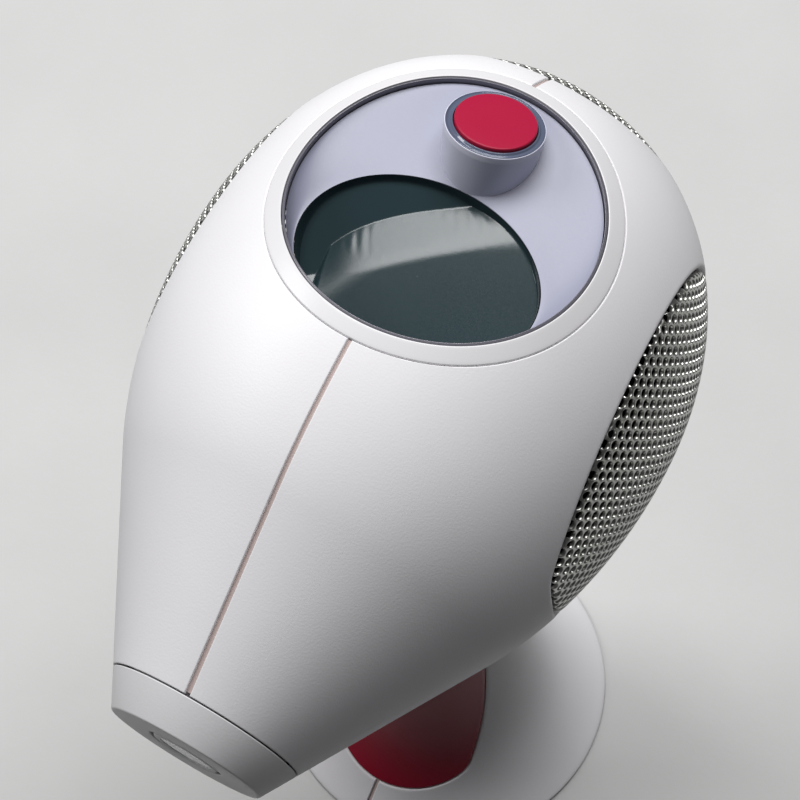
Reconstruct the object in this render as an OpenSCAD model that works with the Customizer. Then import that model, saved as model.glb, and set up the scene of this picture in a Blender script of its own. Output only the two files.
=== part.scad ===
// Cordless light-based hair remover: egg-shaped head on an upright grip with a flared round foot.
// Origin: centre of the foot's resting plane. +Z up, the treatment tip points to -Y, +X to the right.

/* [Head] */
// Length of the head from the tip face to the rear pole
head_l = 119; // [116:1:122]
// Largest radius of the head
head_r = 41; // [40:0.5:42]
// Radius of the flat tip face
tip_r = 12.7; // [12.2:0.1:13.2]
// Distance from the tip face to the widest section
belly_s = 70.6; // [69:0.2:72]
// Length of the ellipse that shapes the front of the head
nose_a = 58; // [57:0.5:59]
// Roundness of the rear of the head, 2 is an ellipse
rear_pow = 2.13; // [2.05:0.01:2.2]
// Angle by which the tip points below level
head_tilt = 5; // [4:0.5:6]
// Reach of the tip face in front of the grip's axis
tip_reach = 66.5; // [65:0.5:68]
// Height of the tip centre above the table
tip_z = 142.5; // [141:0.5:145]
// Wall of the two shells
wall = 2.2; // [2:0.1:2.4]

/* [Grip and foot] */
// Radius of the grip's waist
grip_r = 17.2; // [17:0.1:17.8]
// Radius of the foot's rim
foot_r = 33.2; // [33:0.2:34]
// Extra radius of the flare where it starts, before the rim cuts it off
flare_r = 17.5; // [17:0.1:18]
// Height over which the flare fades out
flare_h = 10.2; // [10:0.1:10.6]
// Extra radius where the grip runs into the head
neck_r = 4; // [3:0.5:5]
// Height over which the neck widens
neck_h = 15; // [14:1:17]
// Height of the shells' rim above the table
rim_z = 0.5; // [0.4:0.1:0.6]

/* [Top window] */
// Distance of the window's axis from the tip face, along the head
window_s = 75.7; // [75:0.1:76.2]
// Lean of the window towards the user
window_lean = 5.9; // [5.5:0.1:6.3]
// Inner radius of the white bezel
window_r = 23.5; // [23.4:0.1:23.8]
// Outer radius of the white bezel
bezel_r = 26; // [25.9:0.1:26.2]
// Height of the dish floor above the head's axis, at the middle of the lens
dish_n = 29.2; // [29:0.1:29.4]
// Slope of the dish floor, down towards the tip
floor_lean = 6; // [5:0.5:7]
// Half width of the oval display lens
lens_x = 19; // [18.6:0.1:19.1]
// Half length of the oval display lens
lens_y = 13.7; // [13.4:0.1:13.8]
// Offset of the display lens from the window's axis, towards the tip
lens_front = 8; // [7.8:0.1:8]

/* [Power button] */
// Radius of the red button
button_r = 6.15; // [6:0.05:6.2]
// Radius of the button's round post
post_r = 7.5; // [7.4:0.1:7.8]
// Offset of the button from the window's axis, towards the rear
button_back = 14.4; // [14.2:0.1:14.6]
// Height of the post's top above the head's axis
post_n = 37.8; // [37.4:0.1:38.2]
// Extra lean of the button towards the user
button_lean = 16.3; // [15:0.1:17]
// Travel of the button
button_travel = 0.8; // [0.5:0.1:0.8]

/* [Tip] */
// Length of the white nose ring
ring_l = 5.6; // [5.4:0.1:5.8]
// Radius of the metal skin-sensor ring
sensor_r = 5.95; // [5.8:0.05:6]
// Radius of the treatment window
glass_r = 4.2; // [4:0.1:4.3]

/* [Vents] */
// Distance of each side grille's edge from the middle plane
vent_x = 34.3; // [34:0.1:34.8]
// Front end of the side grilles, measured from the tip face
vent_s = 44.5; // [44:0.5:46]
// Edge of the rear grille, measured from the tip face
rear_vent_s = 112.4; // [112:0.1:112.8]
// Thickness of the grille sheet
sheet_t = 0.8; // [0.6:0.1:0.8]

/* [Hidden] */
big = 200;
gap = 0.15;
fine = 96;
nose_steps = 10;
rear_steps = 16;
flare_steps = 26;
handle_top = 126;
ledge = 1.4;
seat = 1.05;
floor_t = 1.5;
seal_n = 29.8;
lens_lip = 0.9;
lens_h = 5.4;
stem_r = 1.5;
ring_h = 1.2;
button_up = 0.6;
button_down = 2.6;
stem_end = 10.7;
fan_s = 97;
fan_l = 10;
fan_r = 20;
fan_hub_r = 7.5;
blades = 7;
cell_r = 9.2;
cell_l = 65;
cell_z = 30;
cell_y = 3.6;
jack_z = 10.5;
jack_r = 4.2;
jack_bore_r = 2;
jack_end = 12.5;
jack_face = 20.5;
plate_z = 0.9;
plate_t = 2;
pad_r = 29.6;
screw_r = 1.1;
panel_x = 15.5;
panel_low = 6.8;
panel_round = 6.5;
panel_top = 96;
panel_t = 1.2;
foot_screw_at = [[20, 11], [20, -11], [-20, 11], [-20, -11]];
// Side screws that join the shells, as [y, z] in the part's frame
shell_screw_at = [[0, 103], [-14, 18], head_point(28, -20.5), head_point(101, -24.6)];

// A point of the middle plane, from its distance behind the tip face and its height over the axis
function head_point(s, h) = [
    -tip_reach + s * cos(head_tilt) - h * sin(head_tilt),
    tip_z + s * sin(head_tilt) + h * cos(head_tilt)
];

// Angle at which the straight nose cone meets the front ellipse
function cone_end(rt, rm, a) =
    let (px = -belly_s / a, py = rt / rm)
    atan2(py, px) - acos(1 / norm([px, py]));

// Half section of the head, inset by a wall
function head_outline(inset) =
    let (
        rt = tip_r - inset,
        rm = head_r - inset,
        a = nose_a - inset,
        b = head_l - belly_s - inset,
        a0 = cone_end(rt, rm, a)
    )
    concat(
        [[0, 0], [rt, 0]],
        [for (i = [0:nose_steps])
            let (t = a0 + (90 - a0) * i / nose_steps)
            [rm * sin(t), belly_s + a * cos(t)]],
        [for (i = [1:rear_steps])
            let (t = 90 - 90 * i / rear_steps)
            [rm * pow(sin(t), 2 / rear_pow), belly_s + b * pow(cos(t), 2 / rear_pow)]]
    );

// Radius of the grip and its foot at a height
function handle_r(z) = min(
    foot_r,
    grip_r + flare_r * exp(-z / flare_h) + neck_r * exp((z - 108) / neck_h)
);

// Heights are packed closer together in the flare
function handle_z(i) = rim_z + (handle_top - rim_z) * pow(i / flare_steps, 2);

function handle_outline(inset, low) = concat(
    [[0, low], [handle_r(rim_z) - inset, low]],
    [for (i = [0:flare_steps]) [handle_r(handle_z(i)) - inset, handle_z(i)]],
    [[0, handle_top]]
);

module at_head() {
    translate([0, -tip_reach, tip_z])
        rotate([head_tilt - 90, 0, 0])
            children();
}

module at_window() {
    p = head_point(window_s, 0);
    translate([0, p[0], p[1]])
        rotate([-window_lean, 0, 0])
            children();
}

// Middle of the lens, with local +Z square to the dish floor
module at_floor() {
    at_window()
        translate([0, -lens_front, dish_n])
            rotate([floor_lean, 0, 0])
                children();
}

module at_button() {
    at_window()
        translate([0, button_back, post_n])
            rotate([-button_lean, 0, 0])
                children();
}

module head_solid(inset = 0) {
    at_head()
        rotate_extrude($fn = fine)
            polygon(head_outline(inset));
}

module handle_solid(inset = 0, low = rim_z) {
    rotate_extrude($fn = fine)
        polygon(handle_outline(inset, low));
}

// Tube along +Z from z0 to z1
module tube(r_out, r_in, z0, z1) {
    difference() {
        translate([0, 0, z0])
            cylinder(h = z1 - z0, r = r_out, $fn = fine);
        translate([0, 0, z0 - 1])
            cylinder(h = z1 - z0 + 2, r = r_in, $fn = fine);
    }
}

module rod(r, z0, z1) {
    translate([0, 0, z0])
        cylinder(h = z1 - z0, r = r, $fn = fine);
}

// Box given by its two opposite corners
module box(a, b) {
    translate(a)
        cube(b - a);
}

// Flat oval plate in the floor's frame
module oval(a, b, z0, z1) {
    translate([0, 0, z0])
        linear_extrude(z1 - z0)
            polygon([for (i = [0:59]) [a * cos(6 * i), b * sin(6 * i)]]);
}

// Space beyond the edge of a side grille, on side 1 or -1
module beyond_side(side, x, s) {
    at_head()
        box([side > 0 ? x : -big, -big, s], [side > 0 ? big : -x, big, big]);
}

module beyond_rear(s) {
    at_head()
        box([-big, -big, s], [big, big, big]);
}

// A vent's opening: a recess for the sheet and a smaller hole through the wall
module vent_cut(side) {
    difference() {
        beyond_side(side, vent_x, vent_s);
        head_solid(seat);
    }
    beyond_side(side, vent_x + ledge, vent_s + ledge);
}

module rear_vent_cut() {
    difference() {
        beyond_rear(rear_vent_s);
        head_solid(seat);
    }
    beyond_rear(rear_vent_s + ledge);
}

// Front view outline of the crimson panel, as a solid through the grip's front
module panel_zone(grow) {
    rotate([90, 0, 0])
        linear_extrude(big)
            polygon(concat(
                [[panel_x + grow, panel_top], [-panel_x - grow, panel_top]],
                [for (i = [0:24])
                    let (t = 180 + 180 * i / 24)
                    [(panel_x + grow) * cos(t),
                     panel_low + panel_round + (panel_round + grow) * sin(t)]]
            ));
}

// Boss along X for a side screw, from the middle plane into the wall
module side_boss(side, p) {
    translate([side * 0.1, p[0], p[1]])
        rotate([0, side * 90, 0])
            cylinder(h = big, r = 3, $fn = fine);
}

module shell_half(side) {
    difference() {
        intersection() {
            union() {
                difference() {
                    union() {
                        head_solid();
                        handle_solid();
                    }
                    head_solid(wall);
                    handle_solid(wall, -1);
                }
                intersection() {
                    union() {
                        for (p = shell_screw_at)
                            side_boss(side, p);
                    }
                    union() {
                        head_solid(0.5);
                        handle_solid(0.5);
                    }
                }
                intersection() {
                    for (p = foot_screw_at)
                        translate([p[0], p[1], plate_z + plate_t + 0.05])
                            cylinder(h = 9, r = 3, $fn = fine);
                    handle_solid(0.5);
                }
            }
            box([side > 0 ? 0 : -big, -big, -1], [side > 0 ? big : 0, big, big + 50]);
        }
        // tip opening
        at_head()
            rod(big, -1, ring_l + gap);
        // top window opening
        at_window()
            rod(bezel_r + gap, 10, 60);
        vent_cut(side);
        rear_vent_cut();
        // recess for the front panel
        difference() {
            panel_zone(gap);
            handle_solid(panel_t + 0.05, -5);
        }
        // socket hole at the rear of the foot
        translate([0, 0, jack_z])
            rotate([-90, 0, 0])
                rod(jack_r + gap, 5, 40);
        for (p = foot_screw_at)
            translate([p[0], p[1], 0])
                rod(screw_r + 0.05, 0, 7);
        for (p = shell_screw_at)
            translate([0, p[0], p[1]])
                rotate([0, 90, 0])
                    if (side > 0) {
                        rod(screw_r + 0.05, -1, 7);
                    } else {
                        rod(screw_r + 0.2, -7, 1);
                        rod(2.5, -big, -6);
                    }
    }
}

module left_shell() {
    color("whitesmoke")
        shell_half(-1);
}

module right_shell() {
    color("whitesmoke")
        shell_half(1);
}

module front_panel() {
    color("crimson")
        difference() {
            intersection() {
                panel_zone(0);
                handle_solid(0.02);
            }
            handle_solid(panel_t, -5);
            head_solid(-gap);
        }
}

module window_bezel() {
    color("white")
        intersection() {
            at_window()
                tube(bezel_r, window_r, 30.2, 60);
            head_solid();
        }
}

module window_seal() {
    color("dimgray")
        intersection() {
            at_window()
                tube(window_r - 0.02, window_r - 0.8, seal_n, 60);
            head_solid(0.5);
        }
}

// Everything above the dish floor, moved down by a depth
module over_floor(depth = 0) {
    at_floor()
        box([-60, -60, -depth], [60, 60, 60]);
}

module display_dish() {
    color("lavender")
        difference() {
            union() {
                difference() {
                    intersection() {
                        at_window()
                            rod(window_r - 0.05, 18, 60);
                        over_floor(floor_t);
                        head_solid(0.9);
                    }
                    intersection() {
                        at_window()
                            rod(window_r - 0.82, 0, 80);
                        over_floor();
                    }
                    at_window()
                        tube(window_r + 1, window_r - 0.82, seal_n - 0.02, 80);
                }
                intersection() {
                    at_button()
                        rod(post_r, -14, -ring_h);
                    over_floor(floor_t);
                }
            }
            at_floor() {
                oval(lens_x + 0.1, lens_y + 0.1, -0.9, 5);
                oval(lens_x - lens_lip + 0.1, lens_y - lens_lip + 0.1, -5, 0);
            }
            at_button() {
                rod(button_r + 0.07, -button_down - button_travel - 0.4, 5);
                rod(stem_r + 0.07, -20, 0);
            }
        }
}

// Smoked tub with a lip that sits in the dish
module display_lens() {
    color("darkslategray")
        at_floor()
            difference() {
                union() {
                    oval(lens_x, lens_y, -0.85, 0.1);
                    oval(lens_x - lens_lip, lens_y - lens_lip, -lens_h, 0);
                }
                oval(lens_x - 2, lens_y - 2, 0.8 - lens_h, 5);
            }
}

module display_module() {
    color("black")
        at_floor()
            box([-14, -9.5, -lens_h - 2.6], [14, 9.5, -lens_h - 0.1]);
}

module display_board() {
    color("green")
        at_floor()
            box([-17, -11.5, -lens_h - 4], [17, 10, -lens_h - 2.7]);
}

module post_ring() {
    color("lightslategray")
        at_button()
            tube(post_r, button_r + 0.1, -ring_h + 0.01, 0);
}

module power_button() {
    color("crimson")
        at_button() {
            rod(button_r, -button_down, button_up);
            rod(stem_r, -stem_end, -button_down);
        }
}

module button_switch() {
    color("dimgray")
        at_button() {
            box([-3, -3, -14.2], [3, 3, -12.4]);
            rod(1.7, -12.4, -stem_end - button_travel - 0.1);
        }
}

module button_board() {
    color("green")
        at_button()
            difference() {
                box([-8, -3.8, -15.4], [8, 5, -14.2]);
                for (x = [-6, 6])
                    translate([x, 0, 0])
                        rod(1, -20, 0);
            }
}

module nose_ring() {
    slope = (head_outline(0)[2][0] - tip_r) / head_outline(0)[2][1];
    color("white")
        at_head()
            difference() {
                rotate_extrude($fn = fine)
                    polygon([
                        [0, 0],
                        [tip_r, 0],
                        [tip_r + slope * ring_l, ring_l],
                        [tip_r, ring_l],
                        [tip_r, ring_l + 4],
                        [0, ring_l + 4]
                    ]);
                rod(sensor_r + gap, -1, 5);
                rod(9.4, 2.2, 20);
            }
}

module sensor_ring() {
    color("silver")
        at_head()
            difference() {
                union() {
                    rod(sensor_r, -0.2, 3.6);
                    rod(8.4, 2.4, 3.6);
                }
                rod(glass_r + 0.05, -2, 9);
            }
}

module sensor_board() {
    color("green")
        at_head()
            tube(9, 4.4, 3.7, 4.9);
}

module treatment_window() {
    color("lightcyan")
        at_head()
            rod(glass_r, 0.1, 2.4);
}

module light_guide() {
    color("lightcyan")
        at_head()
            rod(3.6, 2.6, 23.9);
}

module optics_bracket() {
    color("gray")
        difference() {
            intersection() {
                at_head()
                    difference() {
                        rod(30, 14, 17);
                        rod(3.65, 0, 30);
                        for (a = [45:90:315])
                            rotate(a)
                                translate([11, 0, 0])
                                    rod(3, 0, 30);
                    }
                head_solid(wall + 0.2);
            }
        }
}

module light_engine() {
    color("goldenrod")
        at_head()
            box([-11, -11, 24], [11, 11, 37.9]);
}

module heat_sink() {
    fins = 9;
    color("lightgray")
        at_head() {
            box([-18, -14, 38], [18, 14, 42]);
            for (i = [0:fins - 1])
                translate([-18 + i * (36 - 1.4) / (fins - 1), -14, 42])
                    cube([1.4, 28, 44]);
        }
}

module chassis() {
    color("gray")
        at_head() {
            difference() {
                box([-12, 14.1, 17.2], [12, 16.3, 96.9]);
                for (z = [30, 60, 90])
                    translate([0, 30, z])
                        rotate([90, 0, 0])
                            rod(2, 0, 30);
            }
            box([-11, 11.1, 24], [11, 14.1, 37.9]);
        }
}

module fan_frame() {
    color("black")
        at_head() {
            tube(fan_r, fan_r - 1.2, fan_s, fan_s + fan_l);
            for (a = [0, 120, 240])
                rotate(a)
                    box([-1, 4, fan_s + fan_l - 1.4], [1, fan_r - 0.8, fan_s + fan_l]);
            rod(5, fan_s + fan_l - 2, fan_s + fan_l);
            rod(1, fan_s + 3, fan_s + fan_l - 1);
            box([-9, fan_r - 0.8, fan_s], [9, fan_r + 1.2, fan_s + 3]);
        }
}

module fan_rotor() {
    color("dimgray")
        at_head()
            difference() {
                union() {
                    rod(fan_hub_r, fan_s + 0.6, fan_s + fan_l - 2.4);
                    for (i = [0:blades - 1])
                        rotate(i * 360 / blades)
                            translate([0, 0, fan_s + 4.2])
                                rotate([38, 0, 0])
                                    intersection() {
                                        box([-30, -3.6, -0.5], [-fan_hub_r + 1, 3.6, 0.5]);
                                        rod(fan_r - 2.4, -5, 5);
                                    }
                }
                rod(1.05, fan_s + 2.5, fan_s + fan_l);
            }
}

// Curved sheet that fills a vent, flush with the shells
module sheet() {
    difference() {
        head_solid(0.1);
        head_solid(0.1 + sheet_t);
    }
}

module left_grille() {
    color("silver")
        intersection() {
            sheet();
            beyond_side(-1, vent_x + gap, vent_s + gap);
        }
}

module right_grille() {
    color("silver")
        intersection() {
            sheet();
            beyond_side(1, vent_x + gap, vent_s + gap);
        }
}

module rear_grille() {
    color("silver")
        intersection() {
            sheet();
            beyond_rear(rear_vent_s + gap);
        }
}

module main_board() {
    color("green")
        difference() {
            box([-9.5, -10.2, 27], [9.5, -9, 96]);
            for (z = [30, 93])
                translate([0, 0, z])
                    rotate([90, 0, 0])
                        rod(1.2, 0, 20);
        }
}

module battery_cell() {
    color("steelblue")
        translate([0, cell_y, cell_z])
            union() {
                cylinder(h = cell_l - 1.5, r = cell_r, $fn = fine);
                cylinder(h = cell_l, r = 3, $fn = fine);
            }
}

module battery_holder() {
    color("dimgray")
        translate([0, cell_y, 0])
            difference() {
                rod(cell_r + 1.4, cell_z - 2, cell_z + cell_l + 2);
                rod(cell_r + 0.05, cell_z - 0.05, cell_z + cell_l + 0.2);
                box([-20, -20, 0], [20, -2, 200]);
            }
}

module buzzer() {
    color("black")
        translate([0, -9.6, 107])
            difference() {
                rod(4.5, 0, 3);
                rod(0.8, 1.5, 4);
            }
}

module charge_jack() {
    color("black")
        translate([0, 0, jack_z])
            rotate([-90, 0, 0])
                difference() {
                    union() {
                        rod(jack_r, jack_end - 1.5, jack_face);
                        box([-5, -4.5, jack_end - 4], [5, 4.5, jack_end + 1]);
                    }
                    rod(jack_bore_r, jack_end, 40);
                }
}

module foot_plate() {
    color("lightgray")
        difference() {
            intersection() {
                rod(foot_r, plate_z, plate_z + plate_t);
                handle_solid(wall + 0.2, -1);
            }
            for (p = foot_screw_at)
                translate([p[0], p[1], 0])
                    rod(screw_r + 0.2, 0, 5);
            for (p = foot_screw_at)
                translate([p[0], p[1], 0])
                    rod(2.3, 0, plate_z + 0.9);
        }
}

module foot_pad() {
    color("gray")
        rod(pad_r, 0, plate_z - 0.15);
}

module screw(l) {
    rod(2, 0, 1);
    rod(screw_r, 1, l);
}

module shell_screws() {
    color("silver")
        for (p = shell_screw_at)
            translate([-7, p[0], p[1]])
                rotate([0, 90, 0])
                    screw(12);
}

module foot_screws() {
    color("silver")
        for (p = foot_screw_at)
            translate([p[0], p[1], plate_z - 0.1])
                screw(6);
}

left_shell();
right_shell();
front_panel();
window_bezel();
window_seal();
display_dish();
display_lens();
display_module();
display_board();
post_ring();
power_button();
button_switch();
button_board();
nose_ring();
sensor_ring();
sensor_board();
treatment_window();
light_guide();
optics_bracket();
light_engine();
heat_sink();
chassis();
fan_frame();
fan_rotor();
left_grille();
right_grille();
rear_grille();
main_board();
battery_cell();
battery_holder();
buzzer();
charge_jack();
foot_plate();
foot_pad();
shell_screws();
foot_screws();
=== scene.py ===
"""Looks of the cordless hair remover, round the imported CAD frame. Lengths are millimetres until mesh()."""

import math

import bmesh
import bpy
import numpy as np
from mathutils import Matrix, Vector


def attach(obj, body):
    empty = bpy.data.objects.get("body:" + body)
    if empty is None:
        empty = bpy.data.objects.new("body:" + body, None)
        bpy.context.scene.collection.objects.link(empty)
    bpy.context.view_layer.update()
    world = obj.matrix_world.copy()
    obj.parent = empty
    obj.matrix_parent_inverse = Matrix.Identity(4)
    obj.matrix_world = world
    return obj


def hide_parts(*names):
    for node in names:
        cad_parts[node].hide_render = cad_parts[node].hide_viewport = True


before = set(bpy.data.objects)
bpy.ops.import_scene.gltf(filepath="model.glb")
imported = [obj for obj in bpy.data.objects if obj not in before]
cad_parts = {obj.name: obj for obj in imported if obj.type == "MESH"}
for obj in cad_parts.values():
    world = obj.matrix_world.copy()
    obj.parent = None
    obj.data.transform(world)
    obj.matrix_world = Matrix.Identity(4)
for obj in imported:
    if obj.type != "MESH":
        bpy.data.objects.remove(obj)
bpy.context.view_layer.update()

MM = 0.001
HOUSING = "housing"

# Head: profile of the body of revolution, from the tip face to the rear pole
HEAD_L, HEAD_R, TIP_R, BELLY_S = 119.0, 41.0, 12.7, 70.6
NOSE_A, REAR_POW = 58.0, 2.13
HEAD_TILT, TIP_REACH, TIP_Z = 5.0, 66.5, 142.5
# Grip and foot
GRIP_R, FOOT_R, FLARE_R, FLARE_H = 17.2, 33.2, 17.5, 10.2
NECK_R, NECK_H, RIM_Z, HANDLE_TOP = 4.0, 15.0, 0.5, 126.0
NECK_Z, FOOT_BLEND, JOIN_BLEND = 108, 0.25, 7.0
# Top window
WINDOW_S, WINDOW_LEAN, WINDOW_R, BEZEL_R = 75.7, 5.9, 23.5, 26.0
DISH_N, FLOOR_LEAN, LENS_X, LENS_Y, LENS_FRONT = 29.2, 6.0, 19.0, 13.7, 8.0
BUTTON_BACK, POST_N, POST_R, BUTTON_R, BUTTON_LEAN = 14.4, 37.8, 7.5, 6.15, 16.3
# Top and underside of the red cap, from the top of its ring
BUTTON_UP, BUTTON_FOOT = 0.6, -1.5
# Tip, vents, panel
RING_L, SENSOR_R, NOSE_BORE_R, SENSOR_BORE_R = 5.6, 5.95, 6.1, 4.25
VENT_X, VENT_S, REAR_VENT_S = 34.3, 44.5, 112.4
VENT_OPEN, VENT_TURN_S, VENT_ROUND = 0.08, 71.0, 3.0
PANEL_X, PANEL_LOW, PANEL_ROUND, PANEL_TOP = 15.5, 6.8, 6.5, 96.0
JACK_Z, JACK_R, SCREW_R = 10.5, 4.2, 2.5
# Walls and the gaps between neighbours; the shells also stay a little clear of the floor
WALL, PANEL_T = 2.0, 1.2
PART_GAP, NOSE_GAP, BEZEL_GAP, PANEL_GAP, FOOT_CLEAR = 0.15, 0.1, 0.16, 0.12, 0.05
# Rounding of a cut edge, and the depths inside it that get an edge loop
EDGE_ROUND = 0.4
EDGE_LEVELS = (0, 0.08, 0.22, EDGE_ROUND, 0.65)
# A corner this close to a cut is taken to lie on it
SNAP = 0.02


def cos_sin(degrees):
    return math.cos(math.radians(degrees)), math.sin(math.radians(degrees))


class Place:
    """A local frame that shares the part's X: an origin in the middle plane and a lean about X."""

    def __init__(self, origin, lean):
        c, s = cos_sin(lean)
        self.origin = np.array(origin, float)
        self.axes = np.array([(1, 0, 0), (0, c, -s), (0, s, c)], float)

    def out(self, local):
        return self.origin + np.asarray(local, float) @ self.axes

    def into(self, points):
        return (np.asarray(points, float) - self.origin) @ self.axes.T


tilt_c, tilt_s = cos_sin(HEAD_TILT)
# Head frame: x, up, distance behind the tip face
head = Place((0, -TIP_REACH, TIP_Z), 0)
head.axes = np.array([(1, 0, 0), (0, -tilt_s, tilt_c), (0, tilt_c, tilt_s)], float)
window = Place(head.out((0, 0, WINDOW_S)), WINDOW_LEAN)
dish_floor = Place(window.out((0, -LENS_FRONT, DISH_N)), WINDOW_LEAN - FLOOR_LEAN)
button = Place(window.out((0, BUTTON_BACK, POST_N)), WINDOW_LEAN + BUTTON_LEAN)


# ---------------------------------------------------------------- outer form


def cone():
    """Slope of the nose cone and the distance at which it meets the front ellipse."""
    px, py = -BELLY_S / NOSE_A, TIP_R / HEAD_R
    start = math.atan2(py, px) - math.acos(1 / math.hypot(px, py))
    s, r = BELLY_S + NOSE_A * math.cos(start), HEAD_R * math.sin(start)
    return (r - TIP_R) / s, s


CONE_SLOPE, CONE_END = cone()


def head_radius(s):
    """Radius of the head at distance s behind the tip face."""
    s = np.asarray(s, float)
    front = HEAD_R * np.sqrt(np.clip(1 - ((BELLY_S - s) / NOSE_A) ** 2, 0, 1))
    x = np.clip((s - BELLY_S) / (HEAD_L - BELLY_S), 0, 1)
    rear = HEAD_R * (1 - x**REAR_POW) ** (1 / REAR_POW)
    return np.where(s < CONE_END, TIP_R + CONE_SLOPE * s, np.where(s < BELLY_S, front, rear))


def head_field(p):
    """Signed distance to the head's surface, near enough within a few millimetres of it."""
    local = head.into(p)
    r, s = np.hypot(local[..., 0], local[..., 1]), local[..., 2]
    step = 0.01
    slope = (head_radius(s + step) - head_radius(s - step)) / (2 * step)
    front = (r - head_radius(s)) / np.sqrt(1 + slope**2)
    a, b = np.maximum((s - BELLY_S) / (HEAD_L - BELLY_S), 1e-9), np.maximum(r / HEAD_R, 1e-9)
    f = a**REAR_POW + b**REAR_POW - 1
    fa = REAR_POW * a ** (REAR_POW - 1) / (HEAD_L - BELLY_S)
    fb = REAR_POW * b ** (REAR_POW - 1) / HEAD_R
    rear = f / np.maximum(np.hypot(fa, fb), 1e-6)
    return np.where(s < BELLY_S, front, rear)


def handle_radius(z):
    """Radius of the grip: it flares to the foot below and widens into the neck above."""
    neck = NECK_R * np.exp((np.minimum(z, HANDLE_TOP) - NECK_Z) / NECK_H)
    r = GRIP_R + FLARE_R * np.exp(-z / FLARE_H) + neck
    return -np.logaddexp(-r / FOOT_BLEND, -FOOT_R / FOOT_BLEND) * FOOT_BLEND


def handle_field(p):
    """Signed distance to the grip's surface."""
    r, z = np.hypot(p[..., 0], p[..., 1]), p[..., 2]
    step = 0.01
    slope = (handle_radius(z + step) - handle_radius(z - step)) / (2 * step)
    return np.maximum((r - handle_radius(z)) / np.sqrt(1 + slope**2), z - HANDLE_TOP)


def body_field(p):
    """Head and grip in one, with a soft fillet where they meet."""
    a, b = head_field(p), handle_field(p)
    h = np.maximum(JOIN_BLEND - np.abs(a - b), 0) / JOIN_BLEND
    return np.minimum(a, b) - h * h * JOIN_BLEND / 4


def gradient(field, p, step=0.02):
    g = np.stack([(field(p + d) - field(p - d)) / (2 * step) for d in np.eye(3) * step], -1)
    return g / np.maximum(np.linalg.norm(g, axis=-1, keepdims=True), 1e-9)


def onto(field, p, rounds=4):
    """Moves points onto a field's zero surface."""
    for _ in range(rounds):
        p = p - gradient(field, p) * field(p)[..., None]
    return p


def surface_net(field, low, high, step):
    """Quads over the zero surface of a field: one vertex in each grid cell that the surface crosses."""
    axes = [np.arange(a, b + step, step) for a, b in zip(low, high)]
    grid = np.stack(np.meshgrid(*axes, indexing="ij"), -1)
    inside = field(grid) < 0
    n = np.array(inside.shape) - 1
    count = np.zeros(n, int)
    for corner in np.ndindex(2, 2, 2):
        count += inside[tuple(slice(c, c + m) for c, m in zip(corner, n))]
    active = (count > 0) & (count < 8)
    index = np.full(n, -1)
    index[active] = np.arange(active.sum())
    cells = np.argwhere(active)
    points = np.array(low) + (cells + 0.5) * step
    quads = []
    for axis in range(3):
        u, v = (axis + 1) % 3, (axis + 2) % 3
        a = np.take(inside, range(n[axis]), axis)
        b = np.take(inside, range(1, n[axis] + 1), axis)
        for at in np.argwhere(a != b):
            if min(at[u], at[v]) < 1 or at[u] >= n[u] or at[v] >= n[v]:
                continue
            ring = []
            for du, dv in ((1, 1), (0, 1), (0, 0), (1, 0)):
                c = at.copy()
                c[u] -= du
                c[v] -= dv
                ring.append(int(index[tuple(c)]))
            quads.append(ring if a[tuple(at)] else ring[::-1])
    return onto(field, points), quads


# ---------------------------------------------------------------- mesh tools


def mesh(name, points, faces, materials, face_slots=None, sharp=40, body=HOUSING):
    """A mesh object from millimetre points, riding on a body."""
    me = bpy.data.meshes.new(name)
    me.from_pydata((np.asarray(points) * MM).tolist(), [], [list(map(int, f)) for f in faces])
    for m in materials:
        me.materials.append(m)
    if face_slots is not None:
        me.polygons.foreach_set("material_index", np.asarray(face_slots, np.int32))
    me.validate()
    me.polygons.foreach_set("use_smooth", [True] * len(me.polygons))
    me.set_sharp_from_angle(angle=math.radians(sharp))
    o = bpy.data.objects.new(name, me)
    bpy.context.collection.objects.link(o)
    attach(o, body)
    return o


def cut(bm, field, levels=EDGE_LEVELS):
    """Adds edge loops along the levels of a field and removes what lies below the first of them."""
    for level in levels:
        bm.verts.ensure_lookup_table()
        values = field(np.array([v.co for v in bm.verts])) - level
        values[np.abs(values) < SNAP] = 0
        bm.verts.index_update()
        on = [v for v in bm.verts if values[v.index] == 0]
        crossing = [
            (e, e.verts[0], values[e.verts[0].index], values[e.verts[1].index])
            for e in bm.edges
            if values[e.verts[0].index] * values[e.verts[1].index] < 0
        ]
        for e, v, a, b in crossing:
            on.append(bmesh.utils.edge_split(e, v, a / (a - b))[1])
        if not on:
            continue
        bmesh.ops.connect_verts(bm, verts=on, check_degenerate=False)
        if level == levels[0]:
            centres = field(np.array([f.calc_center_median() for f in bm.faces])) - level
            gone = [f for f, c in zip(bm.faces, centres) if c < 0]
            bmesh.ops.delete(bm, geom=gone, context="FACES")


def drop_loose(bm):
    """Deletes the corners that no face uses and numbers the rest."""
    loose = [v for v in bm.verts if not v.link_faces]
    bmesh.ops.delete(bm, geom=loose, context="VERTS")
    bm.verts.index_update()


def double_sided(bm, top, under):
    """Two copies of a mesh, joined along its open edges: the points, outer faces and inner faces."""
    n = len(top)
    faces = [[v.index for v in f.verts] for f in bm.faces]
    rim = [
        [l.link_loop_next.vert.index, l.vert.index, l.vert.index + n, l.link_loop_next.vert.index + n]
        for e in bm.edges
        if e.is_boundary
        for l in e.link_loops
    ]
    bm.free()
    inner = [[i + n for i in f[::-1]] for f in faces]
    return np.concatenate([top, under]), faces + rim, inner


def reflected(points, faces):
    """The same faces on the other side of the middle plane."""
    return points * (-1, 1, 1), [f[::-1] for f in faces]


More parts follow.
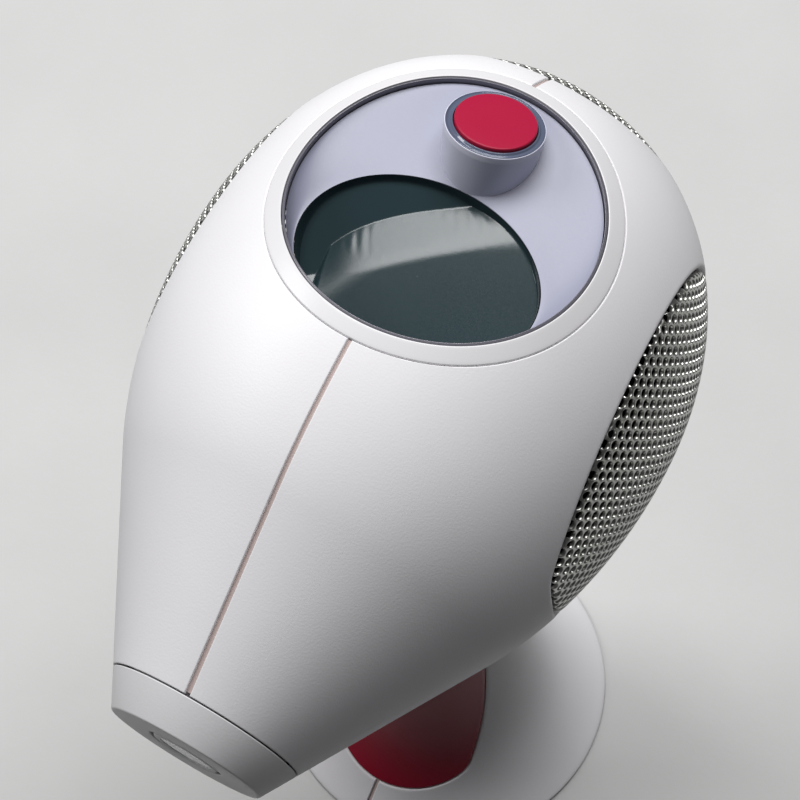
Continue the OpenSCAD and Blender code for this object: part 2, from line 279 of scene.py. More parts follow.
def skin(name, points, quads, cuts, thickness, materials, mirror=False):
    """A wall of even thickness under part of the body's surface, with its open edges rounded over."""
    bm = bmesh.new()
    verts = [bm.verts.new(p) for p in points]
    for q in quads:
        bm.faces.new([verts[i] for i in q])
    for c in cuts:
        cut(bm, c)
    bmesh.ops.dissolve_degenerate(bm, dist=1e-4, edges=bm.edges)
    drop_loose(bm)
    p = onto(body_field, np.array([v.co for v in bm.verts]), 2)
    normal = gradient(body_field, p)
    edge = np.min([c(p) for c in cuts], axis=0)
    reach = np.clip(1 - edge / EDGE_ROUND, 0, 1)
    top = p - normal * (EDGE_ROUND * (1 - np.sqrt(1 - reach**2)))[:, None]
    under = p - normal * thickness
    points, outer, inner = double_sided(bm, top, under)
    points[:, 2] = np.maximum(points[:, 2], FOOT_CLEAR)
    faces = outer + inner
    if mirror:
        points, faces = reflected(points, faces)
    return mesh(name, points, faces, materials, [0] * len(outer) + [1] * len(inner))


def rounded(path, steps=6):
    """A path of (r, z, fillet) corners with its fillets drawn as arcs."""
    out = []
    for i, (r, z, radius) in enumerate(path):
        if radius <= 0 or i in (0, len(path) - 1):
            out.append((r, z))
            continue
        here = np.array((r, z))
        a, b = np.array(path[i - 1][:2]) - here, np.array(path[i + 1][:2]) - here
        a, b = a / np.linalg.norm(a), b / np.linalg.norm(b)
        half = math.acos(max(-1, min(1, float(a @ b)))) / 2
        reach = radius / math.tan(half)
        middle = (a + b) / np.linalg.norm(a + b) * radius / math.sin(half)
        start, end = a * reach - middle, b * reach - middle
        for k in range(steps + 1):
            t = k / steps
            d = start * (1 - t) + end * t
            out.append(tuple(here + middle + d / np.linalg.norm(d) * radius))
    return out


LATHE_STEPS = 160


def lathe(name, place, path, materials, body=HOUSING, swap=False):
    """A turned piece: (r, z, fillet) corners revolved about a place's axis, closed where r is 0."""
    angle = np.arange(LATHE_STEPS) * 2 * math.pi / LATHE_STEPS
    points, rings = [], []
    for r, z in rounded(path):
        if r == 0:
            rings.append([len(points)] * LATHE_STEPS)
            points.append((0, 0, z))
        else:
            rings.append(list(range(len(points), len(points) + LATHE_STEPS)))
            points.extend(np.stack([r * np.cos(angle), r * np.sin(angle), np.full(LATHE_STEPS, z)], -1))
    faces = []
    for a, b in zip(rings, rings[1:]):
        for i in range(LATHE_STEPS):
            j = (i + 1) % LATHE_STEPS
            f = list(dict.fromkeys((a[i], a[j], b[j], b[i])))
            if len(f) > 2:
                faces.append(f)
    if swap:
        faces = [f[::-1] for f in faces]
    return mesh(name, place.out(np.array(points, float)), faces, materials, body=body)


def ring_grid(name, place, rows, materials, swap=False):
    """Faces between rings of local points, and from the last to the first; rows is (rings, steps, 3)."""
    m, n = rows.shape[:2]
    faces = []
    for a in range(m):
        b = (a + 1) % m
        for i in range(n):
            j = (i + 1) % n
            faces.append([a * n + i, a * n + j, b * n + j, b * n + i])
    if swap:
        faces = [f[::-1] for f in faces]
    return mesh(name, place.out(rows.reshape(-1, 3)), faces, materials)


# ---------------------------------------------------------------- materials


def material(
    name,
    colour,
    roughness=0.4,
    metallic=0.0,
    vary=0.04,
    grain=0.25,
    bump=0.02,
    coat=0.0,
    coat_rough=0.1,
    transmission=0.0,
    ior=1.46,
    specular=0.5,
    rough_vary=0.06,
    streak=None,
):
    """A procedural finish: slow colour drift, a fine grain in the gloss and a fine bump."""
    m = bpy.data.materials.new(name)
    m.use_nodes = True
    nodes, links = m.node_tree.nodes, m.node_tree.links
    shader = nodes["Principled BSDF"]
    shader.inputs["Metallic"].default_value = metallic
    shader.inputs["Coat Weight"].default_value = coat
    shader.inputs["Coat Roughness"].default_value = coat_rough
    shader.inputs["Transmission Weight"].default_value = transmission
    shader.inputs["IOR"].default_value = ior
    shader.inputs["Specular IOR Level"].default_value = specular
    where = nodes.new("ShaderNodeTexCoord")
    stretch = nodes.new("ShaderNodeMapping")
    stretch.inputs["Scale"].default_value = streak or (1, 1, 1)
    links.new(where.outputs["Object"], stretch.inputs["Vector"])
    drift = nodes.new("ShaderNodeTexNoise")
    drift.inputs["Scale"].default_value = 22
    drift.inputs["Detail"].default_value = 3
    fine = nodes.new("ShaderNodeTexNoise")
    fine.inputs["Scale"].default_value = 1 / (grain * MM)
    fine.inputs["Detail"].default_value = 2
    links.new(where.outputs["Object"], drift.inputs["Vector"])
    links.new(stretch.outputs["Vector"], fine.inputs["Vector"])
    ramp = nodes.new("ShaderNodeValToRGB")
    for stop, k in zip(ramp.color_ramp.elements, (1 - vary, 1 + vary)):
        stop.color = (*[min(1, c * k) for c in colour], 1)
    ramp.color_ramp.elements[0].position, ramp.color_ramp.elements[1].position = 0.3, 0.7
    links.new(drift.outputs["Fac"], ramp.inputs["Fac"])
    links.new(ramp.outputs["Color"], shader.inputs["Base Color"])
    gloss = nodes.new("ShaderNodeMapRange")
    gloss.inputs["To Min"].default_value = max(0.02, roughness - rough_vary)
    gloss.inputs["To Max"].default_value = roughness + rough_vary
    links.new(fine.outputs["Fac"], gloss.inputs["Value"])
    links.new(gloss.outputs["Result"], shader.inputs["Roughness"])
    relief = nodes.new("ShaderNodeBump")
    relief.inputs["Strength"].default_value = 0.6
    relief.inputs["Distance"].default_value = bump * MM
    links.new(fine.outputs["Fac"], relief.inputs["Height"])
    links.new(relief.outputs["Normal"], shader.inputs["Normal"])
    return m


shell_white = material(
    "shell_white", (0.79, 0.778, 0.80), roughness=0.42, bump=0.03, grain=0.35, specular=0.45
)
# Inner faces of the shells and panel: near-black painted shade for the dark inside of the housing, not the
# plastic's own colour
inside_painted_shade = material("inside_painted_shade", (0.012, 0.013, 0.013), roughness=0.8, bump=0.05, specular=0.1)
bezel_white = material("bezel_white", (0.695, 0.685, 0.70), roughness=0.3, bump=0.01, vary=0.015)
# A real grey seal ring, drawn near-black: part of its darkness is painted shade for the shadow in the gap
# between bezel and dish
seal_grey = material("seal_grey", (0.13, 0.125, 0.15), roughness=0.3, bump=0.01, coat=0.3)
dish_lavender = material("dish_lavender", (0.29, 0.297, 0.385), roughness=0.42, bump=0.01, vary=0.02)
# The post is the dish's lavender plastic painted much lighter: painted light standing in for the bounce that
# lights its sides
post_lavender_painted_light = material("post_lavender_painted_light", (0.76, 0.77, 0.90), roughness=0.4, bump=0.01, vary=0.02)
lens_smoke = material("lens_smoke", (0.02, 0.037, 0.043), roughness=0.19, bump=0.003, vary=0.1, specular=0.47)
ring_grey = material("ring_grey", (0.10, 0.12, 0.18), roughness=0.12, bump=0.004, coat=0.7, vary=0.06)
button_red = material(
    "button_red", (0.375, 0.007, 0.041), roughness=0.42, bump=0.03, grain=0.2, specular=0.35
)
panel_red = material("panel_red", (0.27, 0.003, 0.022), roughness=0.35, bump=0.008, specular=0.2)
nose_white = material("nose_white", (0.66, 0.65, 0.665), roughness=0.4, bump=0.03, grain=0.35)
steel = material(
    "steel", (0.56, 0.56, 0.55), roughness=0.34, metallic=1.0, bump=0.02, grain=0.2, streak=(1, 8, 1)
)
grille_steel = material(
    "grille_steel", (0.44, 0.44, 0.42), roughness=0.32, metallic=1.0, bump=0.03, grain=0.3
)
window_glass = material(
    "window_glass",
    (0.60, 0.61, 0.63),
    roughness=0.22,
    bump=0.002,
    transmission=0.3,
    coat=0.3,
    rough_vary=0.02,
)
groove_taupe = material("groove_taupe", (0.46, 0.37, 0.35), roughness=0.6, bump=0.03)


# ---------------------------------------------------------------- openings


def smooth_least(a, b, k):
    h = np.maximum(k - np.abs(a - b), 0) / k
    return np.minimum(a, b) - h * h * k / 4


def head_s(p):
    return head.into(p)[..., 2]


# The window's cut reaches down to this height over the head's axis
WINDOW_LOW = 15


def window_gap(p, radius):
    """Distance outside a circle about the window's axis, on the top of the head only."""
    local = window.into(p)
    return np.maximum(np.hypot(local[..., 0], local[..., 1]) - radius, WINDOW_LOW - local[..., 2])


def vent_inside(p):
    """Distance inside a side vent: a plane cut, opening a little to the rear, and a straight front edge."""
    s = head_s(p)
    side = np.abs(p[..., 0]) - VENT_X + VENT_OPEN * (s - VENT_TURN_S)
    return smooth_least(side, s - VENT_S, VENT_ROUND)


def panel_inside(p):
    """Distance inside the crimson panel's outline, seen from the front."""
    x, z = p[..., 0], p[..., 2] - PANEL_LOW - PANEL_ROUND
    a, b = x / PANEL_X, np.minimum(z, 0) / PANEL_ROUND
    f = np.maximum(np.hypot(a, b), 1e-6)
    slope = np.hypot(a / PANEL_X, b / PANEL_ROUND) / f
    low = (1 - f) / np.maximum(slope, 1e-6)
    side = np.where(z > 0, PANEL_X - np.abs(x), low)
    return np.minimum(np.minimum(side, PANEL_TOP - p[..., 2]), -p[..., 1])


def screw_gap(p, y, z):
    """Distance outside a screw's hole, which runs across the body."""
    return np.hypot(p[..., 1] - y, p[..., 2] - z) - SCREW_R


# Half the width of the parting groove at two distances behind the tip face
SEAM_S, SEAM_HALF = (10, 60), (0.38, 0.28)
# Edges beside a fine gap are rounded less than the others, by these factors
SHARP, SHARPER = 2.5, 4.0
# Places of the left shell's screws: y and z
SCREW_SPOTS = [(0, 103), (-14, 18), head.out((0, -20.5, 28))[1:], head.out((0, -24.6, 101))[1:]]
# The boxes that hold one shell and the panel, and the pitch of their surface nets
SHELL_BOX = ((-1.5, -69, -1.5), (43, 54, 191))
PANEL_BOX = ((-18, -34, 3), (18, -2, 99))
NET_STEP = 1.0


def seam_half(p):
    return np.interp(head_s(p), SEAM_S, SEAM_HALF)


def jack_gap(p):
    """Distance outside the charging socket's opening, at the rear only."""
    return np.maximum(np.hypot(p[..., 0], p[..., 2] - JACK_Z) - JACK_R - PART_GAP, -p[..., 1])


shell_cuts = [
    lambda p: SHARP * (p[..., 0] - seam_half(p)),
    lambda p: p[..., 2] - RIM_Z,
    lambda p: SHARP * (head_s(p) - RING_L - NOSE_GAP),
    lambda p: SHARPER * window_gap(p, BEZEL_R + BEZEL_GAP),
    lambda p: -vent_inside(p),
    lambda p: REAR_VENT_S - head_s(p),
    lambda p: -panel_inside(p) - PANEL_GAP,
    jack_gap,
]
screw_cuts = [(lambda p, y=y, z=z: screw_gap(p, y, z)) for y, z in SCREW_SPOTS]
shell_net = surface_net(body_field, *SHELL_BOX, NET_STEP)
shell_finish = [shell_white, inside_painted_shade]
right = skin("right_shell_skin", *shell_net, shell_cuts, WALL, shell_finish)
left = skin("left_shell_skin", *shell_net, shell_cuts + screw_cuts, WALL, shell_finish, mirror=True)
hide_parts("right_shell")
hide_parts("left_shell")

# Crimson panel on the front of the grip
panel_net = surface_net(body_field, *PANEL_BOX, NET_STEP)
panel = skin("front_panel_cover", *panel_net, [panel_inside], PANEL_T, [panel_red, inside_painted_shade])
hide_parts("front_panel")


# ---------------------------------------------------------------- top window


def head_height(x, y, first_guess=35.0, rounds=25):
    """Height of the head's surface over the window's frame."""
    n = np.full(np.shape(x), first_guess)
    for _ in range(rounds):
        n = n - head_field(window.out(np.stack([x, y, n], -1)))
    return n


RING_STEPS = 256
TURN = np.arange(RING_STEPS) * 2 * math.pi / RING_STEPS
# Foot of the window's rings: at the inner side as given, at the outer side no deeper than this
OUTER_FOOT = 2.4
SEAL_IN, SEAL_OUT = WINDOW_R - 0.5, WINDOW_R - 0.1


def circle(radius, height):
    """A ring of local points; height is a number or one per segment."""
    return np.stack([radius * np.cos(TURN), radius * np.sin(TURN), np.broadcast_to(height, TURN.shape)], -1)


def rim_height(radius):
    return head_height(radius * np.cos(TURN), radius * np.sin(TURN))


def flush_ring(name, r_in, r_out, drop, foot, materials, fillets):
    """A ring whose top follows the head, drop below it, with its (inner, outer) top edges rounded."""
    quarter = np.radians(np.linspace(0, 90, 6))
    inner, outer = fillets
    radii = [r_in + inner * (1 - math.cos(a)) for a in quarter]
    drops = [drop + inner * (1 - math.sin(a)) for a in quarter]
    middle = np.linspace(r_in + inner, r_out - outer, 7)[1:-1]
    radii += list(middle) + [r_out - outer * (1 - math.cos(a)) for a in quarter[::-1]]
    drops += [drop] * len(middle) + [drop + outer * (1 - math.sin(a)) for a in quarter[::-1]]
    rows = [circle(r_in, rim_height(r_in) - foot)]
    rows += [circle(r, rim_height(r) - d) for r, d in zip(radii, drops)]
    rows.append(circle(r_out, rim_height(r_out) - min(foot, OUTER_FOOT)))
    return ring_grid(name, window, np.array(rows), materials, swap=True)


bezel = flush_ring(
    "bezel_ring", WINDOW_R, BEZEL_R, drop=0.0, foot=3.0, materials=[bezel_white], fillets=(0.25, 0.14)
)
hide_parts("window_bezel")
# Seal ring between bezel and dish; its dark colour is partly painted shade
seal = flush_ring(
    "seal_ring", SEAL_IN, SEAL_OUT, drop=0.3, foot=3.0, materials=[seal_grey], fillets=(0.12, 0.12)
)
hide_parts("window_seal")

# The dish's rim, its drop below the head, and the depth of its outer foot and of the lens's seat
DISH_R, DISH_DROP, DISH_FOOT, DISH_SEAT, DISH_T = WINDOW_R - 0.65, 1.4, 2.0, 0.7, 0.5
DISH_ROWS, DISH_CROWD, DISH_SWEEP = 48, 1.2, 0.985
# The lens's edge climbs by this much at the rear, from this far in front of its middle
REAR_RAISE, RAISE_FROM = 0.9, 2


def capped(rows, thickness):
    """A closed wall from rings that end at a pole or at an opening: the same rings again, lower."""
    under = rows[::-1] - (0, 0, thickness)
    return np.concatenate([rows, under])


def oval_edge():
    """The lens's edge in the dish floor's frame: an oval that climbs a little at the rear."""
    x, y = LENS_X * np.cos(TURN), LENS_Y * np.sin(TURN)
    climb = np.clip((y + RAISE_FROM) / (LENS_Y + RAISE_FROM), 0, 1)
    return np.stack([x, y, REAR_RAISE * climb**2], -1)


def dish_mesh():
    """Rings from the dish's round rim to the lens's oval edge, then a lip down into its seat."""
    edge = window.into(dish_floor.out(oval_edge()))
    angle = np.arctan2(edge[:, 1], edge[:, 0])
    x, y = DISH_R * np.cos(angle), DISH_R * np.sin(angle)
    rim = np.stack([x, y, head_height(x, y) - DISH_DROP], -1)
    rear = np.clip(np.sin(angle), 0, 1) ** 2
    rows = [rim - (0, 0, DISH_FOOT)]
    for u in 1 - np.linspace(0, 1, DISH_ROWS) ** DISH_CROWD:
        row = edge + (rim - edge) * u
        swept = 1 - math.sqrt(1 - DISH_SWEEP * u * u)
        shouldered = 1 - (1 - u) ** 3
        row[:, 2] = edge[:, 2] + (rim[:, 2] - edge[:, 2]) * (swept * (1 - rear) + shouldered * rear)
        rows.append(row)
    rows.append(edge - (0, 0, DISH_SEAT))
    return np.array(rows)


dish = ring_grid("lavender_dish", window, capped(dish_mesh(), DISH_T), [dish_lavender])
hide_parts("display_dish")

# Display glass inside the lens: straight edges at its rear, rear left and left, as a point on each and a
# direction square to it, pointing inwards
REAR_EDGE = ((-7.4, 8.1), (0.507, -0.862))
CORNER_EDGE = ((-14.1, -1.2), (0.905, -0.424))
LEFT_EDGE = ((-14.1, -1.2), (0.974, 0.226))
CORNER_BLEND = 4.0
# The glass's height at GLASS_Y and its slope; the lowest and highest points of the tub
GLASS_Y, GLASS_Z, GLASS_TIP, TUB_LOW, WALL_Z = 4.0, -1.7, 0.19, -5.3, -0.1
# Slope of the tub's wall, the step beside the glass's left edge and the softness of their creases
WALL_SLOPE, SIDE_STEP, SIDE_REACH, CREASE = 0.25, 1.5, 1.5, 0.06
# The facet in the left corner: its height at the corner, its two slopes and the blend into the dome
FACET_Z, FACET_SIDE, FACET_TIP, FACET_BLEND = -3.6, 0.12, 0.04, 0.25
# The glass bends down over this width behind its middle
DOME_W, DOME_BEND = 8.0, 0.02
# Fine flutes across the bend, faded in and out between its edge and FLUTE_END
FLUTE, FLUTE_BEND, FLUTE_PITCH = 0.013, 0.1, 1.76
FLUTE_IN, FLUTE_END, FLUTE_OUT, FLUTE_SIDE = 2.5, 7.5, 3, 2


def inside_edge(x, y, edge):
    """Distance inside a straight edge."""
    (px, py), (nx, ny) = edge
    return (x - px) * nx + (y - py) * ny


def glass_height(x, y):
    """Height inside the tub: a slope down to the glass's edge, then the glass, domed and tipped."""
    rear = smooth_least(inside_edge(x, y, REAR_EDGE), inside_edge(x, y, CORNER_EDGE), CORNER_BLEND)
    left = inside_edge(x, y, LEFT_EDGE)
    glass = GLASS_Z + GLASS_TIP * (y - GLASS_Y)
    _, (nx, ny) = REAR_EDGE
    wave = np.cos(2 * math.pi * (-ny * x + nx * y) / FLUTE_PITCH)
    wave = wave * np.clip(rear / FLUTE_IN, 0, 1) * np.clip((FLUTE_END - rear) / FLUTE_OUT, 0, 1)
    wave = wave * np.clip((left - rear) / FLUTE_SIDE, 0, 1)
    bend = DOME_BEND * (1 + FLUTE_BEND * wave) * np.clip(DOME_W - rear, 0, DOME_W) ** 2
    (px, py), _ = LEFT_EDGE
    facet = FACET_Z + FACET_SIDE * (x - px) + FACET_TIP * (y - py)
    dome = smooth_least(glass - bend + FLUTE * wave, facet, FACET_BLEND)
    dome = dome - SIDE_STEP * np.clip(-left, 0, SIDE_REACH)
    slope = glass - DOME_BEND * DOME_W**2 - WALL_SLOPE * rear
    return np.clip(-smooth_least(-slope, -dome, CREASE), TUB_LOW, WALL_Z)


# The lens's gap and drop in its seat, and its rings as shares of its radius: five up its wall, then the tub
LENS_GAP, LENS_DROP, LENS_T = 0.12, 0.05, 0.2
WALL_RHO, WALL_SPAN = 0.972, 0.028
LENS_RINGS = np.concatenate([[1.0, 0.994, 0.988, 0.98, 0.974], np.linspace(0.965, 0.0, 130)])


def lens_mesh():
    """Rings from the lens's oval edge down into the tub and to its middle."""
    edge = oval_edge()
    rows = []
    for rho in LENS_RINGS:
        x, y = (LENS_X - LENS_GAP) * rho * np.cos(TURN), (LENS_Y - LENS_GAP) * rho * np.sin(TURN)
        wall = np.clip((rho - WALL_RHO) / WALL_SPAN, 0, 1) ** 2
        z = glass_height(x, y) * (1 - wall) + (edge[:, 2] - LENS_DROP) * wall
        rows.append(np.stack([x, y, z], -1))
    return np.array(rows)


lens = ring_grid("smoked_lens", dish_floor, capped(lens_mesh(), LENS_T), [lens_smoke])
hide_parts("display_lens")

post = lathe(
    "button_post",
    button,
    [
        (6.4, -4.5, 0),
        (6.4, -0.9, 0.1),
        (POST_R - 0.12, -0.9, 0.05),
        (POST_R - 0.12, -0.12, 0.05),
        (POST_R, -0.2, 0.1),
        (POST_R, -1.2, 0.6),
        (POST_R - 0.75, -8.7, 0.2),
        (5.9, -8.7, 0.1),
        (5.9, -4.5, 0.1),
        (6.4, -4.5, 0),
    ],
    [post_lavender_painted_light],
    swap=True,
)
halo = lathe(
    "button_halo",
    button,
    [
        (6.3, -0.85, 0),
        (6.3, 0.0, 0.06),
        (6.5, 0.0, 0.06),
        (6.72, -0.3, 0.15),
        (7.12, -0.22, 0.15),
        (7.36, -0.02, 0.05),
        (7.36, -0.85, 0),
        (6.3, -0.85, 0),
    ],
    [ring_grey],
    swap=True,
)
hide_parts("post_ring")
cap = lathe(
    "red_button",
    button,
    [
        (0, BUTTON_UP, 0),
        (3.0, BUTTON_UP - 0.01, 0),
        (BUTTON_R, BUTTON_UP - 0.05, 0.25),
        (BUTTON_R, BUTTON_FOOT, 0.1),
        (0, BUTTON_FOOT, 0),
    ],
    [button_red],
    body="button",
    swap=True,
)
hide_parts("power_button")


# ---------------------------------------------------------------- tip


def cone_r(s):
    """Radius of the nose cone at distance s behind the tip face."""
    return TIP_R + CONE_SLOPE * s


tip_place = Place(head.origin, 0)
tip_place.axes = np.array([(1, 0, 0), (0, tilt_s, -tilt_c), (0, tilt_c, tilt_s)], float)
nose = lathe(
    "nose_cap",
    tip_place,
    [
        (9.4, 9.0, 0),
        (9.4, 2.2, 0),
        (NOSE_BORE_R, 2.2, 0),
        (NOSE_BORE_R, 0.0, 0.25),
        (TIP_R, 0.0, 0.5),
        (cone_r(RING_L), RING_L, 0.12),
        (cone_r(RING_L) - 2.0, RING_L, 0.1),
        (12.7, 9.4, 0),
        (9.4, 9.0, 0),
    ],
    [nose_white],
)
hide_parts("nose_ring")
sensor = lathe(
    "sensor_band",
    tip_place,
    [
        (SENSOR_BORE_R, 3.6, 0),
        (SENSOR_BORE_R, 0.0, 0.12),
        (5.35, 0.0, 0.15),
        (SENSOR_R - 0.1, 0.6, 0.1),
        (SENSOR_R - 0.1, 2.4, 0),
        (8.4, 2.4, 0.1),
        (8.4, 3.6, 0.1),
        (SENSOR_BORE_R, 3.6, 0),
    ],
    [nose_white],
)
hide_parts("sensor_ring")
for o in (nose, sensor):
    o.data.flip_normals()


# ---------------------------------------------------------------- grilles

HOLE_PITCH, HOLE_R, HOLE_BEVEL, HOLE_STEPS = 1.8, 0.74, 0.05, 12
ROW_PITCH = HOLE_PITCH * math.cos(math.pi / 6)
# The sheet lies SHEET_SUNK below the head and curls down by SHEET_CURL at its trimmed edge
SHEET_T, SHEET_SUNK, SHEET_CURL, SHEET_ROUND = 0.6, 0.12, 0.8, 0.55
SHEET_LEVELS = (0, 0.14, 0.32)
# Cells whose middle is this far outside the vent are left out before the trimming
CELL_REACH = 1.3
# Corners closer than this are one corner
WELD = 0.005


def lattice(extent_a, extent_b):
    """A staggered hole pattern in a plane: the cells' middles, the hole's corners and its hexagon's."""
    angle = np.radians(np.arange(HOLE_STEPS) * 360 / HOLE_STEPS)
    unit = np.stack([np.cos(angle), np.sin(angle)], -1)
    apothem = HOLE_PITCH / 2
    reach = np.where(np.arange(HOLE_STEPS) % 2, apothem / math.cos(math.pi / 6), apothem)
    rows, columns = int(extent_b / ROW_PITCH) + 2, int(extent_a / HOLE_PITCH) + 2
    centres = [
        ((i + 0.5 * (j % 2)) * HOLE_PITCH, j * ROW_PITCH)
        for j in range(-rows, rows + 1)
        for i in range(-columns, columns + 1)
    ]
    return np.array(centres), unit * HOLE_R, unit * reach[:, None]


def sheet(name, to_surface, inside, extent, mirror=False):
    """A perforated sheet: the hole pattern is laid on the head, trimmed at the vent and given a thickness."""
    centres, ring, hexagon = lattice(*extent)
    bm = bmesh.new()
    made = {}

    def vertex(a, b):
        key = (round(a / WELD), round(b / WELD))
        if key not in made:
            made[key] = bm.verts.new((a, b, 0))
        return made[key]

    for c in centres[inside(to_surface(centres)) > -CELL_REACH]:
        outer = [vertex(*(c + h)) for h in hexagon]
        brim = [bm.verts.new((*(c + r * (1 + HOLE_BEVEL / HOLE_R)), 0)) for r in ring]
        inner = [bm.verts.new((*(c + r), -HOLE_BEVEL)) for r in ring]
        for i in range(HOLE_STEPS):
            j = (i + 1) % HOLE_STEPS
            bm.faces.new((outer[i], outer[j], brim[j], brim[i]))
            bm.faces.new((brim[i], brim[j], inner[j], inner[i]))

    cut(bm, lambda p: inside(to_surface(p[..., :2])), SHEET_LEVELS)
    drop_loose(bm)
    q = np.array([v.co for v in bm.verts])
    p = to_surface(q[:, :2])
    normal = gradient(head_field, p)
    reach = np.clip(1 - inside(p) / SHEET_ROUND, 0, 1)
    top = p - normal * (SHEET_SUNK + SHEET_CURL * (1 - np.sqrt(1 - reach**2)) - q[:, 2])[:, None]
    points, outer, inner = double_sided(bm, top, top - normal * SHEET_T)
    faces = outer + inner
    if mirror:
        points, faces = reflected(points, faces)
    return mesh(name, points, faces, [grille_steel], sharp=50)


# Middle of the side grilles' pattern, the half sizes of both patterns, and the gap round each sheet
SIDE_S, SIDE_EXTENT, REAR_EXTENT = 71.0, (34, 30), (24, 24)
SIDE_SHEET_GAP, REAR_SHEET_GAP = 0.2, 0.12
# The side pattern stops this far before the rear pole
POLE_CLEAR = 4


def on_side(ab):
    """Lays plane points on the head's right side: first along the head, then round it."""
    s = SIDE_S + ab[..., 0]
    r = head_radius(np.clip(s, 0, HEAD_L - POLE_CLEAR))
    turn = ab[..., 1] / HEAD_R
    return head.out(np.stack([r * np.cos(turn), r * np.sin(turn), s], -1))


def on_rear(ab):
    """Lays plane points on the rear of the head, round its pole."""
    r = np.hypot(ab[..., 0], ab[..., 1])
    s = BELLY_S + (HEAD_L - BELLY_S) * (1 - np.clip(r / HEAD_R, 0, 1) ** REAR_POW) ** (1 / REAR_POW)
    return head.out(np.stack([ab[..., 0], ab[..., 1], s], -1))


def side_sheet_inside(p):
    return vent_inside(p) - SIDE_SHEET_GAP


def rear_sheet_inside(p):
    return head_s(p) - REAR_VENT_S - REAR_SHEET_GAP


right_grille = sheet("right_mesh", on_side, side_sheet_inside, SIDE_EXTENT)
left_grille = sheet("left_mesh", on_side, side_sheet_inside, SIDE_EXTENT, mirror=True)
rear_grille = sheet("rear_mesh", on_rear, rear_sheet_inside, REAR_EXTENT)
for o, node in ((right_grille, "right_grille"), (left_grille, "left_grille"), (rear_grille, "rear_grille")):
    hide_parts(node)


# ---------------------------------------------------------------- parting groove

# The strip lies SEAM_DEPTH below the skin; half its width and its thickness
SEAM_DEPTH, STRIP_HALF, STRIP_T = 0.4, 0.8, 1.0
# Its ends on the head: behind the tip ring, beside the bezel, before the rear vent, and under the head
TIP_CLEAR, BEZEL_CLEAR, VENT_CLEAR, UNDER_FRONT, UNDER_BACK = 0.4, 0.25, 0.3, 48, 88
# Its top ends on the grip's front and rear, its foot, and its gap round the charging socket
STRIP_FRONT_Z, STRIP_BACK_Z, STRIP_FOOT_Z, JACK_CLEAR = 112, 118, 2.4, 0.5


def tongue():
    """The strip that closes the parting groove, a little below the skin, all round the middle plane."""
    points, faces = [], []

    def strip(path):
        start = len(points)
        for k, p in enumerate(path):
            normal = gradient(body_field, p[None])[0]
            for x in (-STRIP_HALF, STRIP_HALF):
                for d in (SEAM_DEPTH, SEAM_DEPTH + STRIP_T):
                    q = p - normal * d
                    points.append((x, q[1], q[2]))
            if k:
                b = start + 4 * k
                a = b - 4
                faces.extend([(a, b, b + 2, a + 2), (a + 1, a + 3, b + 3, b + 1)])
                faces.extend([(a, a + 1, b + 1, b), (a + 2, b + 2, b + 3, a + 3)])
        last = start + 4 * (len(path) - 1)
        faces.append((start, start + 2, start + 3, start + 1))
        faces.append((last, last + 1, last + 3, last + 2))

    def along_head(first, last, steps, up=1):
        """The head's profile in the middle plane, over the axis or under it."""
        line = [head.out((0, up * float(head_radius(s)), s)) for s in np.linspace(first, last, steps)]
        return onto(body_field, np.array(line))

    reach = BEZEL_R + BEZEL_CLEAR
    front_s, back_s = (float(head_s(window.out((0, y, float(head_height(0.0, y)))))) for y in (-reach, reach))
    strip(along_head(RING_L + TIP_CLEAR, front_s, 60))
    strip(along_head(back_s, REAR_VENT_S - VENT_CLEAR, 12))
    strip(along_head(RING_L + TIP_CLEAR, UNDER_FRONT, 60, up=-1))
    strip(along_head(REAR_VENT_S - VENT_CLEAR, UNDER_BACK, 40, up=-1))
    for side, top_z, clear in ((1, STRIP_BACK_Z, JACK_R + JACK_CLEAR), (-1, STRIP_FRONT_Z, 0)):
        z = np.linspace(top_z, STRIP_FOOT_Z, 90)
        line = onto(body_field, np.stack([0 * z, side * handle_radius(z), z], -1))
        strip(line[line[:, 2] > JACK_Z + clear])
        strip(line[line[:, 2] <= JACK_Z - clear])
    return mesh("groove_strip", points, faces, [groove_taupe])


groove = tongue()


# ---------------------------------------------------------------- inner pieces and CAD nodes

board_green = material("board_green", (0.02, 0.10, 0.045), roughness=0.4, bump=0.06, grain=1.2, vary=0.25)
black_plastic = material("black_plastic", (0.018, 0.018, 0.02), roughness=0.5, bump=0.03)
aluminium = material(
    "aluminium", (0.62, 0.62, 0.63), roughness=0.35, metallic=1, streak=(1, 12, 1), grain=0.3
)
brass = material("brass", (0.60, 0.42, 0.16), roughness=0.35, metallic=1)
cell_blue = material("cell_blue", (0.02, 0.07, 0.22), roughness=0.3, coat=0.3)
pad_rubber = material("pad_rubber", (0.09, 0.09, 0.095), roughness=0.75, bump=0.08, grain=0.5)
plate_grey = material("plate_grey", (0.5, 0.5, 0.51), roughness=0.5, bump=0.03)
bracket_grey = material("bracket_grey", (0.06, 0.06, 0.065), roughness=0.55, bump=0.03)

finishes = {
    board_green: ("display_board", "button_board", "sensor_board", "main_board"),
    black_plastic: ("display_module", "button_switch", "fan_frame", "fan_rotor", "buzzer", "charge_jack"),
    aluminium: ("heat_sink", "chassis"),
    brass: ("light_engine",),
    cell_blue: ("battery_cell",),
    pad_rubber: ("foot_pad",),
    plate_grey: ("foot_plate",),
    bracket_grey: ("optics_bracket", "battery_holder"),
    window_glass: ("treatment_window", "light_guide"),
    steel: ("shell_screws", "foot_screws"),
}
for finish, nodes in finishes.items():
    for node in nodes:
        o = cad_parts[node]
        o.data.materials.clear()
        o.data.materials.append(finish)


# ---------------------------------------------------------------- stage

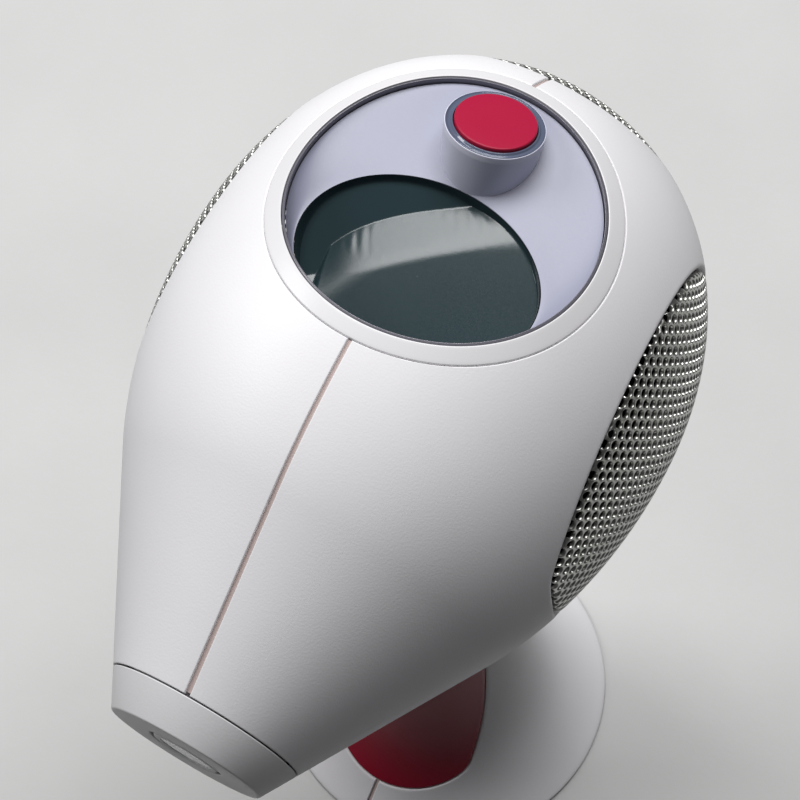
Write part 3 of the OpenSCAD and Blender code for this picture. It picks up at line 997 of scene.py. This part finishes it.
floor_mat = material(
    "floor", (0.62, 0.62, 0.615), roughness=0.85, vary=0.03, bump=0.1, grain=3.0, specular=0.2
)
floor_mesh = bpy.data.meshes.new("floor")
HALF = 3.0
corners = [(x * HALF, y * HALF, 0) for x, y in ((-1, -1), (1, -1), (1, 1), (-1, 1))]
floor_mesh.from_pydata(corners, [], [(0, 1, 2, 3)])
floor_mesh.materials.append(floor_mat)
floor = bpy.data.objects.new("floor", floor_mesh)
bpy.context.collection.objects.link(floor)
# The object stands clear of the backdrop's bounce, so its underside stays in shade
floor.visible_diffuse = False


AIM = (0, 0, 0.15)


def area_light(name, position, size, power):
    """A soft rectangular light aimed at the middle of the head."""
    data = bpy.data.lights.new(name, "AREA")
    data.shape = "RECTANGLE"
    data.size, data.size_y = size
    data.energy = power
    o = bpy.data.objects.new(name, data)
    o.location = position
    o.rotation_euler = (Vector(AIM) - Vector(position)).to_track_quat("-Z", "Y").to_euler()
    bpy.context.collection.objects.link(o)


area_light("key", position=(-0.12, 0.36, 1.02), size=(0.8, 0.36), power=10.8)
area_light("fill", position=(-0.66, -0.14, 0.72), size=(0.4, 0.3), power=2.8)

world = bpy.data.worlds.new("world")
world.use_nodes = True
sky = world.node_tree.nodes["Background"]
sky.inputs["Color"].default_value = (0.96, 0.98, 1.0, 1)
sky.inputs["Strength"].default_value = 0.06
bpy.context.scene.world = world
bpy.context.scene.view_settings.view_transform = "Standard"

# Camera: a short telephoto above the tip's right, looking steeply down; angles in degrees
CAM_AT = Vector((0.0981, -0.1348, 0.5056))
CAM_AZ, CAM_EL, CAM_ROLL = 36.8, 65.4, -6.8
CAM_LENS, CAM_SENSOR = 115.29, 36
(az_c, az_s), (el_c, el_s), (ro_c, ro_s) = cos_sin(CAM_AZ), cos_sin(CAM_EL), cos_sin(CAM_ROLL)
forward = Vector((-az_s * el_c, az_c * el_c, -el_s))
across = forward.cross(Vector((0, 0, 1))).normalized()
down = forward.cross(across)
right_dir = across * ro_c - down * ro_s
down_dir = across * ro_s + down * ro_c
camera_data = bpy.data.cameras.new("camera")
camera_data.lens, camera_data.sensor_width = CAM_LENS, CAM_SENSOR
camera_data.clip_start, camera_data.clip_end = 0.01, 20
camera = bpy.data.objects.new("camera", camera_data)
turned = Matrix((right_dir, -down_dir, -forward)).transposed().to_4x4()
camera.matrix_world = Matrix.Translation(CAM_AT) @ turned
bpy.context.collection.objects.link(camera)
bpy.context.scene.camera = camera
